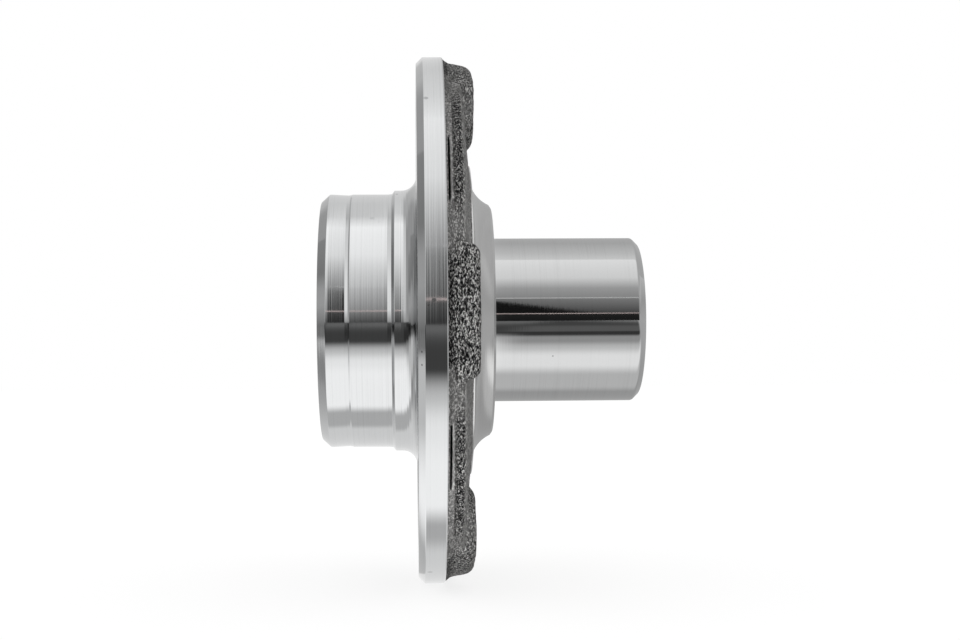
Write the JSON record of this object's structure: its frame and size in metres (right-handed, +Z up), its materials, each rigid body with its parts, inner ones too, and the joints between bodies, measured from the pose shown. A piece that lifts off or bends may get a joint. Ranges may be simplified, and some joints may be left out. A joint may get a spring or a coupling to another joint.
{
  "type": "driven wheel hub",
  "caption": "Flanged steel wheel hub with a stepped wheel and disc spigot, forged bolt bosses behind the flange, a ground bearing journal and a splined bore.",
  "frame": {"origin": "on the axis of rotation, in the plane of the flange face that the brake disc seats on, at the centre of the bolt circle", "axes": "+Y along the axis of rotation, towards the bearing journal; -Y is the wheel's side; +X points at the middle of bolt boss 1; +Z up"},
  "size_m": [0.15, 0.0903, 0.15],
  "materials": {
    "turned_steel": "bright turned, fine rings around the axis",
    "ground_steel": "ground, nearly mirror bright",
    "forged_steel": "as forged and shot blasted, dark and coarse",
    "broached_steel": "broached along the axis, satin"
  },
  "bodies": {
    "root": {"wheel_spigot": "turned_steel", "disc_spigot": "turned_steel", "nut_seat": "turned_steel", "wheel_flange": "turned_steel", "flange_back": "forged_steel", "bolt_boss_1": "forged_steel", "bolt_boss_2": "forged_steel", "bolt_boss_3": "forged_steel", "bolt_boss_4": "forged_steel", "bolt_boss_5": "forged_steel", "bearing_shoulder": "turned_steel", "bearing_journal": "ground_steel", "drive_spline": "broached_steel"}
  },
  "joints": []
}
